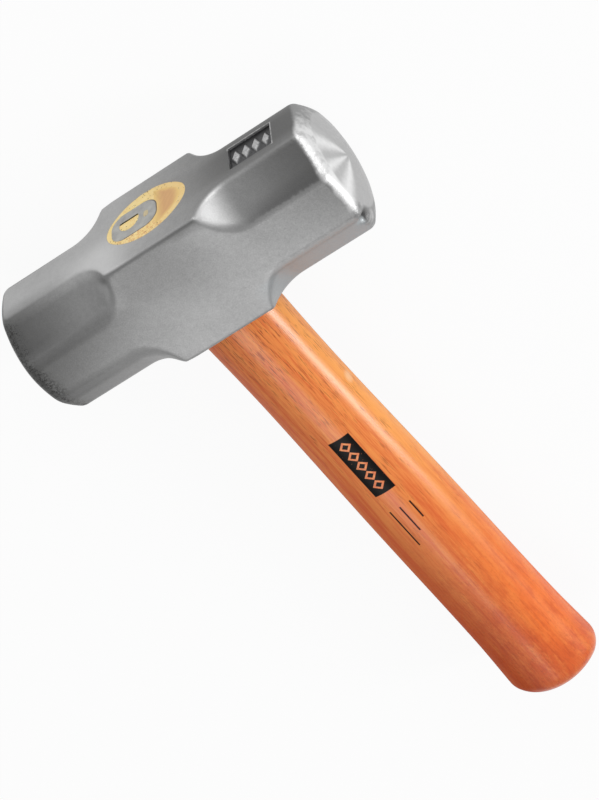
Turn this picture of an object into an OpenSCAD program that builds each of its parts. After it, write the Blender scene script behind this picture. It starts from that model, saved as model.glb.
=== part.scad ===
// Club hammer, lying on one cheek of its head.
// X runs along the head, +Y from the butt of the handle to the eye, +Z out of the upper cheek.
// The origin is the centre of the lower cheek, under the crossing of head axis and handle axis.

/* [Head] */
// Length of the head over its two striking faces
head_len = 146; // [130:1:160]
// Height of the head, from its underside to its eye face
head_h = 50.6; // [47:0.2:56]
// Width of the head, from cheek to cheek
head_w = 45; // [42:0.2:50]
// Length of the square-cornered middle, along its sharp edges
middle_len = 40.6; // [38:0.2:46]
// Width of a corner chamfer, measured across the eye face
chamfer_w = 11.4; // [9:0.2:13]
// Width of a corner chamfer, measured down the cheek
chamfer_h = 14.4; // [12:0.2:17]
// Length in which a chamfer scoops up to the sharp edge
runout_len = 14.5; // [11.5:0.5:18]

/* [Striking faces] */
// Radius of the crowned striking face
face_r = 20; // [17:0.5:21]
// Height of the crown
face_crown = 3; // [1.6:0.2:3.4]
// Radial width of the turned bevel round the face
bevel_w = 5; // [4:0.5:7]
// Length of the turned bevel along the head
bevel_len = 2; // [1.5:0.1:3]

/* [Eye] */
// Length of the oval eye at the eye face
eye_len = 35.8; // [35:0.2:38]
// Length of the oval eye at its waist
eye_waist_len = 33.4; // [32.8:0.2:34]
// Length of the oval eye at the underside
eye_mouth_len = 36.4; // [36.2:0.2:38]
// Height of the waist above the underside
eye_waist_h = 18; // [12:0.5:24]
// How much narrower than long every oval of eye, tenon and grip is
oval_step = 8.8; // [8:0.1:9]

/* [Stamp recess] */
// Length of the sunk panel in the eye face
stamp_len = 18.5; // [14:0.5:20]
// Width of the sunk panel
stamp_w = 13.6; // [10:0.2:15]
// Depth of the sunk panel
stamp_depth = 1.3; // [0.6:0.1:2]
// Distance of the panel's middle from the handle axis
stamp_x = 46.8; // [44:0.2:50]

/* [Handle] */
// Length of the handle, from the eye face to the end of the butt
handle_len = 287; // [250:1:330]
// Length of the tenon's oval at the eye face
tenon_len = 33; // [32.6:0.2:33.8]
// Length of the grip's oval at the underside of the head
shoulder_len = 36; // [35:0.2:36]
// Length of the grip's oval at its neck
neck_len = 35.2; // [32:0.2:35.6]
// Distance of the neck below the head axis
neck_y = 72; // [60:1:90]
// Length of the grip's oval half way from neck to flare
palm_len = 37.7; // [36:0.1:40]
// Length of the grip's oval where it begins to flare
heel_len = 39.3; // [37:0.1:41]
// Length of the flare above the butt's round
flare_len = 28.5; // [15:0.5:40]
// Length of the grip's oval at its widest, above the butt's round
butt_len = 41.6; // [40.6:0.2:44]
// Radius that rounds the edge of the butt
butt_round = 9; // [6:0.5:9]
// Radius of the dome inside that round
butt_dome_r = 100; // [70:1:140]
// Length of the flat oval land in the middle of the butt
butt_land_len = 22.8; // [22.6:0.2:23.2]

/* [Wedge] */
// Length of the steel wedge along the head
wedge_len = 20.6; // [18:0.2:21]
// Thickness of the wedge at its head
wedge_w = 15.6; // [13:0.2:16]
// Thickness of the wedge at its driven tip
wedge_tip_w = 4; // [2:0.5:6]
// Radius of the wedge's rounded corners
wedge_round = 6.2; // [5.4:0.2:6.4]
// Depth to which the wedge is driven
wedge_depth = 30; // [22:1:36]
// Distance of the wedge's middle from the handle axis, away from the stamp
wedge_x = 5.3; // [4.8:0.1:5.6]
// Length of the D-shaped window in the wedge's head
window_len = 8; // [6:0.5:9]
// Width of the D-shaped window
window_w = 6.4; // [5:0.2:7]
// Distance from the wedge's middle to the window's middle
window_x = 2.3; // [2:0.1:3]
// Length of the small slot beside the window, across the head
slot_len = 3.7; // [3:0.1:5]
// Width of that slot
slot_w = 2.2; // [1.4:0.1:2.4]
// Distance from the wedge's middle to that slot
slot_x = 5.3; // [5:0.1:6]
// Depth of window and slot
window_depth = 8; // [5:0.5:10]

/* [Resin] */
// Depth to which resin fills the eye's flare round the tenon
resin_depth = 18; // [10:1:24]
// Depth of the resin pool over the split end of the tenon
pool_depth = 1.5; // [1:0.1:2.5]
// Rim of resin between the bare end grain and the edge of the tenon
pool_rim = 1.2; // [0.8:0.1:2]
// Distance from the handle axis at which the bare end grain begins
bare_x = 4; // [2:0.5:6]
// Width of the slit that the resin leaves open along the window's straight side
slit_w = 1; // [0.6:0.1:1.4]
// Depth of that slit
slit_depth = 3; // [1:0.5:4]
// Clearance between pieces that are driven or cast together
seat_gap = 0.05; // [0.02:0.01:0.1]

/* [Hidden] */
$fn = 128;
// A cutter stands this far past the surface that it cuts
over = 1;
// Factor by which the rays between two sectors are drawn out, past every arc
ray_reach = 10;
// Number of straight bands that follow each stretch of the grip's curve
grip_bands = 6;
// Number of straight bands round the butt's edge, and on its dome
round_bands = 7;
dome_bands = 2;

top_y = head_h / 2;
axis_z = head_w / 2;
waist_y = eye_waist_h - top_y;

// Every oval has two end arcs and two side arcs about the same four centres, so all are parallel.
// A 3-4-5 triangle joins the axis, an end centre and a side centre, and sets how arcs meet.
end_x = oval_step;
side_z = 0.75 * end_x;
arc_step = 1.25 * end_x;

// The corner chamfer seen square on: its breadth, and its depth below the sharp corner
chamfer_breadth = sqrt(chamfer_w * chamfer_w + chamfer_h * chamfer_h);
chamfer_depth = chamfer_w * chamfer_h / chamfer_breadth;
chamfer_angle = atan2(chamfer_h, chamfer_w);
full_x = middle_len / 2 + runout_len;
// The scoop is the arc through the sharp edge's end that lands flat on the chamfer
scoop_r = (chamfer_depth * chamfer_depth + runout_len * runout_len) / (2 * chamfer_depth);
crown_r = (face_r * face_r + face_crown * face_crown) / (2 * face_crown);

// The butt's round touches its side and its dome
butt_r = butt_len / 2;
round_in = butt_r - butt_round;
dome_drop = sqrt(pow(butt_dome_r - butt_round, 2) - round_in * round_in);
dome_turn = atan2(round_in, dome_drop);
land_turn = asin(butt_land_len / 2 / butt_dome_r);
dome_y = top_y - handle_len + butt_dome_r * cos(land_turn);
side_y = dome_y - dome_drop;

// Stations down the grip, each a height on the handle axis and half the oval's length
heel_y = side_y + flare_len;
stations = [
    [-top_y, shoulder_len / 2],
    [-neck_y, neck_len / 2],
    [(heel_y - neck_y) / 2, palm_len / 2],
    [heel_y, heel_len / 2],
    [side_y, butt_r],
    ];
last = len(stations) - 1;

// Slope of the grip's curve at a station, from the stations on either side
function rise(a, b) = (stations[b][1] - stations[a][1]) / (stations[b][0] - stations[a][0]);
function slope(i) = rise(max(i - 1, 0), min(i + 1, last));

// Half length of the oval at share t of the way from station i to the next, on a smooth cubic
function grip_r(i, t) =
    let (span = stations[i + 1][0] - stations[i][0])
    stations[i][1] * (1 - t) * (1 - t) * (1 + 2 * t)
    + stations[i + 1][1] * t * t * (3 - 2 * t)
    + span * slope(i) * t * (1 - t) * (1 - t)
    - span * slope(i + 1) * t * t * (1 - t);
function grip_y(i, t) = stations[i][0] + (stations[i + 1][0] - stations[i][0]) * t;

grip_curve = [
    for (i = [0:last - 1])
        for (band = [0:grip_bands - 1])
            [grip_r(i, band / grip_bands), grip_y(i, band / grip_bands)]
    ];
butt_curve = [
    for (band = [0:round_bands - 1])
        let (turn = (90 - dome_turn) * band / round_bands)
        [round_in + butt_round * cos(turn), side_y - butt_round * sin(turn)],
    for (band = [0:dome_bands])
        let (turn = dome_turn + (land_turn - dome_turn) * band / dome_bands)
        [butt_dome_r * sin(turn), dome_y - butt_dome_r * cos(turn)],
    ];

// Turns a shape made about Z, up the handle, into the part's frame
module on_handle_axis() {
    translate([0, 0, axis_z])
        rotate([-90, 0, 0])
            children();
}

// Turns a shape made downwards from the eye face, along Z, into the part's frame
module into_eye_face() {
    translate([0, top_y, axis_z])
        rotate([90, 0, 0])
            children();
}

// Turns an outline, each point moved out by reach, about Z, and keeps it between two rays.
// Radii are kept to thousandths of a millimetre, so that neighbouring sectors share their edges.
module arc_sector(outline, reach, ray_a, ray_b) {
    top = outline[0][1];
    bottom = outline[len(outline) - 1][1];
    intersection() {
        rotate_extrude()
            polygon(concat(
                [[0, top]],
                [for (p = outline) [round((p[0] + reach) * 1000) / 1000, p[1]]],
                [[0, bottom]]
                ));
        translate([0, 0, bottom - over])
            linear_extrude(top - bottom + 2 * over)
                polygon([[0, 0], ray_a * ray_reach, ray_b * ray_reach]);
    }
}

// Solid about the handle axis, from outline points of half an oval's length and its height
module oval_turned(outline, gap = 0) {
    on_handle_axis()
        for (side = [0, 1]) {
            mirror([side, 0, 0])
                translate([end_x, 0, 0])
                    arc_sector(outline, gap - end_x, [4, -3], [4, 3]);
            mirror([0, side, 0])
                translate([0, -side_z, 0])
                    arc_sector(outline, gap - end_x + arc_step, [4, 3], [-4, 3]);
        }
}

// The four corners that run along the head
module at_corners() {
    for (flip_y = [0, 1])
        for (flip_z = [0, 1])
            translate([0, 0, axis_z])
                mirror([0, flip_y, 0])
                    mirror([0, 0, flip_z])
                        children();
}

// Both ends of the head
module at_ends() {
    children();
    mirror([1, 0, 0])
        children();
}

// Square bar with both ends turned to a bevel
module head_blank() {
    face_x = head_len / 2 - face_crown;
    rim_r = head_h;
    rim_x = face_x - (rim_r - face_r) * bevel_len / bevel_w;
    intersection() {
        translate([-head_len / 2, -top_y, 0])
            cube([head_len, head_h, head_w]);
        translate([0, 0, axis_z])
            rotate([0, 90, 0])
                rotate_extrude()
                    polygon([
                        [0, -face_x],
                        [face_r, -face_x],
                        [rim_r, -rim_x],
                        [rim_r, rim_x],
                        [face_r, face_x],
                        [0, face_x],
                        ]);
    }
}

// Segment of a ball that crowns the striking face
module face_cap() {
    translate([head_len / 2 - face_crown, 0, axis_z])
        rotate([0, 90, 0])
            intersection() {
                translate([0, 0, face_crown - crown_r])
                    sphere(crown_r);
                translate([0, 0, -over])
                    cylinder(h = face_crown + 2 * over, r = face_r);
            }
}

// One corner chamfer with its scooped run-out, for the corner between eye face and upper cheek
module corner_chamfer() {
    translate([0, top_y - chamfer_h / 2, axis_z - chamfer_w / 2])
        rotate([chamfer_angle, 0, 0])
            linear_extrude(2 * chamfer_breadth, center = true) {
                translate([full_x, 0])
                    square([head_len / 2 - full_x + over, chamfer_depth + over]);
                translate([full_x, scoop_r])
                    circle(scoop_r);
            }
}

// The oval eye, which flares both ways from its waist
module eye(gap = 0) {
    oval_turned([
        [eye_len / 2, top_y + over],
        [eye_len / 2, top_y],
        [eye_waist_len / 2, waist_y],
        [eye_mouth_len / 2, -top_y],
        [eye_mouth_len / 2, -top_y - over],
        ], -gap);
}

module stamp_recess() {
    translate([stamp_x - stamp_len / 2, top_y - stamp_depth, axis_z - stamp_w / 2])
        cube([stamp_len, stamp_depth + over, stamp_w]);
}

module hammer_head() {
    color("#8f9193")
        difference() {
            union() {
                head_blank();
                at_ends()
                    face_cap();
            }
            at_ends()
                at_corners()
                    corner_chamfer();
            eye();
            stamp_recess();
        }
}

// Outline of the tenon in the eye, from the eye face down to its seat at the waist
tenon_outline = [
    [tenon_len / 2, top_y],
    [eye_waist_len / 2 - seat_gap, waist_y],
    ];

// Stretch of the tenon that the resin surrounds
module resin_core() {
    oval_turned(concat(tenon_outline, [[shoulder_len / 2, -top_y]]), seat_gap);
}

// Oval of end grain that the resin leaves bare
module bare_grain(gap = 0) {
    intersection() {
        oval_turned([
            [tenon_len / 2 - pool_rim, top_y + over],
            [tenon_len / 2 - pool_rim, top_y - pool_depth - over],
            ], gap);
        translate([bare_x - gap, 0, 0])
            cube([tenon_len, head_h, head_w]);
    }
}

// Pool over the split end of the tenon
module resin_pool(gap = 0) {
    difference() {
        into_eye_face()
            translate([0, 0, -over])
                cylinder(h = pool_depth - gap + over, r = tenon_len);
        bare_grain(gap);
    }
}

module handle() {
    color("#d8743c")
        difference() {
            oval_turned(concat(tenon_outline, grip_curve, butt_curve));
            resin_pool();
            wedge_body(seat_gap);
        }
}

module rounded_plate(length, width, corner) {
    square([length - 2 * corner, width], center = true);
    square([length, width - 2 * corner], center = true);
    for (sx = [-1, 1])
        for (sy = [-1, 1])
            translate([sx * (length / 2 - corner), sy * (width / 2 - corner)])
                circle(corner);
}

// Wedge without its openings: a rounded plate whose two flat sides taper to the tip
module wedge_body(gap = 0) {
    into_eye_face()
        translate([-wedge_x, 0, 0])
            intersection() {
                translate([0, 0, -over])
                    linear_extrude(wedge_depth + gap + over)
                        rounded_plate(wedge_len + 2 * gap, wedge_w + 2 * gap, wedge_round + gap);
                rotate([90, 0, 90])
                    linear_extrude(2 * wedge_len, center = true)
                        polygon([
                            [-wedge_w / 2 - gap, 0],
                            [wedge_w / 2 + gap, 0],
                            [wedge_tip_w / 2 + gap, wedge_depth + gap],
                            [-wedge_tip_w / 2 - gap, wedge_depth + gap],
                            ]);
            }
}

// D-shaped window, its straight side towards the lower cheek
module window(gap = 0) {
    bow_r = (window_len * window_len / 4 + window_w * window_w) / (2 * window_w);
    into_eye_face()
        translate([-wedge_x - window_x, -window_w / 2, -over])
            linear_extrude(window_depth - gap + over)
                intersection() {
                    translate([0, window_w - bow_r])
                        circle(bow_r - gap);
                    translate([-window_len, gap])
                        square([2 * window_len, window_w]);
                }
}

// Small round-ended slot beside the window
module slot(gap = 0) {
    into_eye_face()
        translate([slot_x - wedge_x, 0, -over])
            linear_extrude(window_depth - gap + over)
                union() {
                    square([slot_w - 2 * gap, slot_len - slot_w], center = true);
                    for (end = [-1, 1])
                        translate([0, end * (slot_len - slot_w) / 2])
                            circle(slot_w / 2 - gap);
                }
}

module steel_wedge() {
    color("#a9abb0")
        difference() {
            wedge_body();
            window();
            slot();
        }
}

// The slit beside the resin in the window
module slit() {
    into_eye_face()
        translate([-wedge_x - window_x - window_len, -window_w / 2 - over, -over])
            cube([2 * window_len, slit_w + over, slit_depth + over]);
}

module below_eye_face(depth) {
    into_eye_face()
        cylinder(h = depth, r = eye_len);
}

module eye_resin() {
    color("#e6c06a") {
        difference() {
            intersection() {
                eye(seat_gap);
                below_eye_face(resin_depth);
            }
            difference() {
                resin_core();
                resin_pool(seat_gap);
            }
            bare_grain(seat_gap);
            wedge_body(seat_gap);
        }
        intersection() {
            difference() {
                union() {
                    window(seat_gap);
                    slot(seat_gap);
                }
                slit();
            }
            below_eye_face(resin_depth);
        }
    }
}

hammer_head();
handle();
steel_wedge();
eye_resin();
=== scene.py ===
"""Looks of the club hammer: forged head, varnished handle, steel wedge and cast resin.

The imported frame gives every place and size. Lengths in the classes below are in millimetres, in
the frame's own axes: X along the head, +Y up the handle to the eye face, +Z out of the upper cheek.
"""

import logging
import math
from dataclasses import dataclass
from enum import Enum
from typing import Any, Callable, Iterable, Sequence, Union

import bmesh
import bpy
import numpy as np
from mathutils import Matrix, Vector


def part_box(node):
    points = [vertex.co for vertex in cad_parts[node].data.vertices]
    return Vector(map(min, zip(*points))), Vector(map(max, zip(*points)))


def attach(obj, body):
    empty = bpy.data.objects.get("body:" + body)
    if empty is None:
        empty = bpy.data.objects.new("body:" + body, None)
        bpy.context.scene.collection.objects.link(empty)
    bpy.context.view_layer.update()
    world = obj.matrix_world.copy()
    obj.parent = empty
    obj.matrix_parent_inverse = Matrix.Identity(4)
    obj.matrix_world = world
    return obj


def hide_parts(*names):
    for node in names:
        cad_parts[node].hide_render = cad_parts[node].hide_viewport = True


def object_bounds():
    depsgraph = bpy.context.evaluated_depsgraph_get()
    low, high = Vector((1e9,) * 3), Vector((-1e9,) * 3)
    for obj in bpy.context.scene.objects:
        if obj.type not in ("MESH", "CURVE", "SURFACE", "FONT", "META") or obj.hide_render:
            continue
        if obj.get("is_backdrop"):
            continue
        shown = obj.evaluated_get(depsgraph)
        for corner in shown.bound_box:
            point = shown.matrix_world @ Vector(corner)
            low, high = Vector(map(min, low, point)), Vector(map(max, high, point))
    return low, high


MM = 0.001
SHARP = 38.0
MERGE = 0.002
PAST = 2.0
LOG = logging.getLogger("club_hammer")

Colour = tuple[float, float, float]
Point = tuple[float, float, float]
Pairs = tuple[tuple[float, float], ...]
Fades = tuple[float, ...]
Number = Union[float, "Signal"]
Socket = bpy.types.NodeSocket
Material = bpy.types.Material
Piece = bpy.types.Object
Array = np.ndarray
WHITE: Colour = (1.0, 1.0, 1.0)


class Slot(Enum):
    """Material slots of the hammer, as its record names them."""

    FORGED_STEEL = "forged_steel"
    VARNISHED_WOOD = "varnished_wood"
    WEDGE_STEEL = "wedge_steel"
    AMBER_RESIN = "amber_resin"


def srgb(red: int, green: int, blue: int) -> Colour:
    """Turns a screen colour, in values up to 255, into the linear colour that shaders use."""
    shares = (value / 255 for value in (red, green, blue))
    return tuple(s / 12.92 if s <= 0.04045 else ((s + 0.055) / 1.055) ** 2.4 for s in shares)


def both_sides(operation: str) -> tuple[Callable[["Signal", Number], "Signal"], ...]:
    """Makes one operator of Signal from a Math node's operation, with its reflected form."""
    def forward(self: "Signal", other: Number) -> "Signal":
        """Works on self and other."""
        return self.apply(operation, self, other)

    def reflected(self: "Signal", other: Number) -> "Signal":
        """Works on other and self."""
        return self.apply(operation, other, self)

    return forward, reflected


class Signal:
    """A number that varies over a surface: one output socket, with Python's arithmetic.

    Of two masks, & gives the lower, where both hold, and | the higher, where either holds.
    """

    __add__, __radd__ = both_sides("ADD")
    __sub__, __rsub__ = both_sides("SUBTRACT")
    __mul__, __rmul__ = both_sides("MULTIPLY")
    __truediv__, __rtruediv__ = both_sides("DIVIDE")
    __and__, __rand__ = both_sides("MINIMUM")
    __or__, __ror__ = both_sides("MAXIMUM")

    def __init__(self, graph: "Finishing", socket: Socket) -> None:
        """Wraps a socket of a graph."""
        self.graph = graph
        self.socket = socket

    def __abs__(self) -> "Signal":
        """Returns the size of self."""
        return self.apply("ABSOLUTE", self)

    def apply(self, operation: str, *values: Number) -> "Signal":
        """Adds one Math node and returns its result."""
        node = self.graph.node("Math", {"operation": operation}, dict(enumerate(values)))
        return Signal(self.graph, node.outputs[0])

    def wave(self) -> "Signal":
        """Returns the sine of self, brought to lie from 0 to 1."""
        return self.apply("SINE", self) * 0.5 + 0.5

    def fraction(self) -> "Signal":
        """Returns what self has after the point."""
        return self.apply("FRACT", self)

    def swing(self, share: float) -> "Signal":
        """Turns noise, which lies about 0.5, into a swing of that share about 0."""
        return (self - 0.5) * share

    def step(self, start: float, end: float) -> "Signal":
        """Rises smoothly from 0 at start to 1 at end, or falls where end is the lower."""
        low, high = min(start, end), max(start, end)
        settings = {"interpolation_type": "SMOOTHSTEP"}
        values = {"Value": self, "From Min": low, "From Max": high}
        node = self.graph.node("MapRange", settings, values)
        rising = Signal(self.graph, node.outputs[0])
        return rising if start < end else 1 - rising

    def band(self, low: float, high: float, soft: float) -> "Signal":
        """Is 1 between low and high, with edges that fade over soft."""
        return self.step(low - soft, low + soft) & self.step(high + soft, high - soft)


@dataclass(frozen=True)
class Place:
    """Where a point of a surface lies, in millimetres; across is its z from the handle's axis."""

    x: Signal
    y: Signal
    z: Signal
    across: Signal
    vector: Socket


@dataclass(frozen=True)
class Patch:
    """A soft-edged patch: on an axis, each two numbers say where it is 0 and where it has its share."""

    x: Fades = ()
    y: Fades = ()
    across: Fades = ()
    share: float = 1.0

    def on(self, at: Place) -> Signal:
        """Returns the patch's share where it lies, and 0 elsewhere."""
        mask: Number = self.share
        for axis, fades in ((at.x, self.x), (at.y, self.y), (at.across, self.across)):
            for start, end in zip(fades[::2], fades[1::2]):
                mask = axis.step(start, end) * mask
        return mask


class Finishing:
    """Builds the node tree of one material, or of the world."""

    def __init__(self, owner: Union[str, bpy.types.World]) -> None:
        """Starts with no nodes, in a new material of that name or in the world."""
        self.material = bpy.data.materials.new(owner) if isinstance(owner, str) else owner
        self.material.use_nodes = True
        self.tree = self.material.node_tree
        self.tree.nodes.clear()

    def node(self, kind: str, settings: dict[str, Any], values: dict[Any, Any]) -> bpy.types.Node:
        """Adds a node, sets it up and fills or links its inputs.

        Args:
            kind: The node's type, such as TexNoise for ShaderNodeTexNoise.
            settings: Its own settings, which are set first.
            values: What goes into each input, by name or number: a value, a socket or a Signal.

        Returns:
            The new node.
        """
        node = self.tree.nodes.new("ShaderNode" + kind)
        for key, setting in settings.items():
            setattr(node, key, setting)
        for key, value in values.items():
            value = value.socket if isinstance(value, Signal) else value
            if isinstance(value, Socket):
                self.tree.links.new(value, node.inputs[key])
            elif node.inputs[key].type == "RGBA":
                node.inputs[key].default_value = (*value, 1.0)
            else:
                node.inputs[key].default_value = value
        return node

    def vector_math(self, operation: str, *values: Any) -> bpy.types.Node:
        """Adds one Vector Math node."""
        return self.node("VectorMath", {"operation": operation}, dict(enumerate(values)))

    def place(self, axis_z: float = 0.0) -> Place:
        """Returns where the shaded point lies, with the handle's axis at height axis_z."""
        coords = self.node("TexCoord", {}, {})
        scaled = self.vector_math("MULTIPLY", coords.outputs["Object"], (1 / MM,) * 3).outputs[0]
        parts = self.node("SeparateXYZ", {}, {0: scaled}).outputs
        x, y, z = (Signal(self, part) for part in parts)
        return Place(x, y, z, z - axis_z, scaled)

    def shifted(self, vector: Socket, by: Point) -> Socket:
        """Moves a vector, so that noise read there is another noise."""
        return self.vector_math("ADD", vector, by).outputs[0]

    def vector(self, x: Number, y: Number, z: Number) -> Socket:
        """Puts three numbers together as a vector."""
        return self.node("CombineXYZ", {}, {0: x, 1: y, 2: z}).outputs[0]

    def length(self, x: Number, y: Number, z: Number) -> Signal:
        """Returns how long the vector of three numbers is."""
        return Signal(self, self.vector_math("LENGTH", self.vector(x, y, z)).outputs[1])

    def noise(self, vector: Socket, size: float, detail: float = 3.0, roughness: float = 0.6,
              drawn: float = 1.0) -> Signal:
        """Returns noise from 0 to 1.

        Args:
            vector: Where to read it, in millimetres.
            size: Rough size of its lumps, in the vector's units.
            detail: Number of finer layers.
            roughness: Strength of the finer layers.
            drawn: Factor on the vector's height. Below 1 it draws the lumps out along the handle.

        Returns:
            The noise.
        """
        if drawn != 1.0:
            vector = self.vector_math("MULTIPLY", vector, (1.0, drawn, 1.0)).outputs[0]
        values = {"Vector": vector, "Scale": 1 / size, "Detail": detail, "Roughness": roughness}
        return Signal(self, self.node("TexNoise", {}, values).outputs["Fac"])

    def cells(self, vector: Socket, size: float) -> Signal:
        """Returns the distance to scattered points that lie about size apart."""
        node = self.node("TexVoronoi", {}, {"Vector": vector, "Scale": 1 / size})
        return Signal(self, node.outputs["Distance"])

    def mix(self, share: Number, first: Any, second: Any) -> Socket:
        """Blends two colours or their sockets, with share of the second, from 0 to 1."""
        settings = {"data_type": "RGBA", "clamp_factor": True}
        return self.node("Mix", settings, {0: share, 6: first, 7: second}).outputs[2]

    def coats(self, colour: Any, *coats: tuple[Number, Any]) -> Socket:
        """Lays coats over a colour, each given by the share that shows of it and its own colour."""
        for share, coat in coats:
            colour = self.mix(share, colour, coat)
        return colour

    def bump(self, height: Signal, depth: float, under: Any = None) -> Socket:
        """Turns a height from 0 to 1 into a normal, for a depth in millimetres over another normal."""
        values: dict[Any, Any] = {"Height": height, "Distance": depth * MM, "Strength": 1.0}
        if under is not None:
            values["Normal"] = under
        return self.node("Bump", {}, values).outputs[0]

    def close(self, **inputs: Any) -> Material:
        """Ends the tree with the surface shader, whose inputs have underscores here for spaces."""
        values = {key.replace("_", " "): value for key, value in inputs.items()}
        shader = self.node("BsdfPrincipled", {}, values)
        self.node("OutputMaterial", {}, {"Surface": shader.outputs[0]})
        return self.material


@dataclass(frozen=True)
class BlastedSteel:
    """Forged steel, blasted to a fine even grain and bright where it was turned, with painted shade and
    painted highlights laid into its colour.
    """

    name: str = "blasted_steel"
    grey: Colour = srgb(178, 178, 178)
    shade: Colour = srgb(152, 152, 152)
    # Painted shade: the darker grey laid where the head should look dimmer.
    painted_shade_grey: Colour = srgb(92, 92, 91)
    # Bright turned steel of the bevels, also the colour of the painted highlights on the body and eye
    # face.
    bevel: Colour = srgb(226, 226, 226)
    face: Colour = srgb(186, 186, 186)
    # Colour of the painted highlights: the face's rays and the lower bevel's strip.
    ray: Colour = srgb(240, 240, 240)
    # Painted shade along the chamfers' edges.
    edge_shade: Colour = srgb(66, 66, 66)
    # Cool tint of the painted reflection on the right scoop's lower chamfer.
    cool_reflection: Colour = srgb(158, 170, 176)
    # Dark of the chipped rim, also used for painted shade in the nick's hollow.
    chip_and_shade: Colour = srgb(48, 47, 46)
    grain: float = 0.55
    cloud: float = 16.0
    dent: float = 5.5
    dent_depth: float = 0.6
    metallic: float = 0.9
    roughness: float = 0.47
    turned_roughness: float = 0.48
    ring_pitch: float = 0.5
    rays: Pairs = ((63.0, 19.0), (31.0, 11.0), (-2.0, 20.0))
    bevel_in: float = 6.6
    bevel_r: float = 24.0
    # Angles round the face, in degrees, of the bevel's painted shade and of its painted highlight strip.
    dim_turn: float = 34.0
    highlight_strip_turn: float = 4.0
    plain_end: Patch = Patch(x=(-50, -60))
    nick_side: Patch = Patch(x=(66, 67.4), share=0.8)
    upper: Patch = Patch(y=(6, 15))
    # Patches of painted shade: the cheek's middle, the upper chamfers by the eye face, and the cheek's
    # right.
    middle: Patch = Patch(x=(-34, -14, 24, 2), y=(-12, 14), share=0.36)
    lip_shade: Patch = Patch(x=(-22, 16, 22, 19), share=0.6)
    right_top_shade: Patch = Patch(x=(20, 34), y=(-5, 8), share=0.16)
    # Where painted shade lies along the upper chamfers' edges, painted highlights along the lower ones,
    # and the painted reflection.
    left_edge_shade: Patch = Patch(x=(-24, -36), share=0.1)
    right_edge_shade: Patch = Patch(x=(28, 44), share=0.4)
    low_left_highlight: Patch = Patch(x=(-30, -44), share=0.06)
    low_right_highlight: Patch = Patch(x=(24, 34), share=0.4)
    below: Patch = Patch(x=(16, 34), y=(-12, -15))
    # The left scoop's run-out, with a painted highlight arc and a painted shade ridge on it.
    runout: Patch = Patch(x=(-28, -23, -17, -20))
    arc: Patch = Patch(y=(6, 10, 23.5, 19), share=0.35)
    ridge_shade: Patch = Patch(y=(20.5, 22.5, 25.1, 24.3), share=0.3)
    # Painted light and a painted highlight spot on the eye face left of the eye, and painted shade at its
    # left end.
    left_eye_face_light: Patch = Patch(x=(4, -16), share=0.16)
    eye_face_highlight: Patch = Patch(x=(-4, -22, -48, -22), across=(-6, 9), share=0.5)
    left_end_shade: Patch = Patch(x=(-26, -60), across=(2, 11), share=0.4)

    def material(self, head: "HammerHead") -> Material:
        """Builds the finish for a head of these sizes."""
        f = Finishing(self.name)
        at = f.place(head.axis_z)
        grain = f.noise(at.vector, self.grain, 2.0)
        fine = f.noise(at.vector, self.grain * 3.2)
        cloud = f.noise(at.vector, self.cloud, roughness=0.5)
        dents = f.noise(f.shifted(at.vector, (3.0, 5.0, 8.0)), self.dent, 2.0, 0.5)
        radius = f.length(0.0, at.y, at.across)
        turn = at.y.apply("ARCTAN2", at.y, at.across) * (180 / math.pi)
        plain_end = self.plain_end.on(at)
        edge = abs(at.x) - (head.half_len - self.bevel_in) + (radius - self.bevel_r) * 0.35
        worked = (edge - plain_end * 2.6 + dents.swing(2.0) + fine.swing(0.9)).step(-0.8, 0.9)
        # Painted highlight: a bright strip on the lower bevel, which also gets more roughness and less
        # dent bump.
        highlight_strip = abs(turn - self.highlight_strip_turn).step(30, 16)
        # Painted shade: dull dims the bevel away from dim_turn and a little on the strip, laid in with
        # its random mottling.
        dull = abs(turn - self.dim_turn).step(36, 62) * 0.9 | highlight_strip * 0.15
        bevel = f.coats(self.bevel, (fine.swing(1.2) + dents.swing(1.5) + 0.05 + dull, self.shade),
                        (highlight_strip * 0.7, self.ray))
        on_face = radius.step(head.face_r + 0.6, head.face_r - 0.7)
        on_face = on_face & abs(at.x).step(head.rim_x - 1.5, head.rim_x - 0.5)
        # Painted highlights: the face's rays are painted lighter where its turning lines catch the light.
        turned = f.mix(self._rays(turn, radius) * 0.9 + fine.swing(0.6), self.face, self.ray)
        burnt = plain_end * at.y.step(head.half_h - 0.2, head.half_h - 3.0) * edge.step(2, 1.4)
        burnt = burnt * (edge + dents.swing(6.0)).step(-6, 1.5)
        chips = burnt * f.noise(at.vector, 1.1, 4.0, 0.8).step(0.44, 0.64)
        # Painted shade in the nick's hollow, in the chips' dark colour.
        nick = f.length(*(axis - place for axis, place in zip((at.x, at.y, at.z), head.nick)))
        nick = (nick + fine.swing(2.0)).step(5, 1.6) * self.nick_side.on(at)
        colour = f.coats(self._body(f, at, head, grain, fine, cloud), (worked, bevel),
                         (on_face * 0.9, turned), (burnt * 0.25 + chips * 0.7, self.chip_and_shade),
                         (nick, self.chip_and_shade))
        rough = self.roughness + grain.swing(0.14) - worked * (self.roughness - self.turned_roughness)
        rings = (radius * (2 * math.pi / self.ring_pitch)).wave()
        normal = f.bump(grain * 0.6 + fine * 0.4, 0.07)
        normal = f.bump(rings * on_face, 0.012, normal)
        normal = f.bump(dents * worked * (1 - highlight_strip * 0.8), self.dent_depth, normal)
        normal = f.bump(1 - chips, 0.12, normal)
        return f.close(Base_Color=colour, Metallic=self.metallic,
                       Roughness=rough + worked * highlight_strip * 0.05, Normal=normal)

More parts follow.
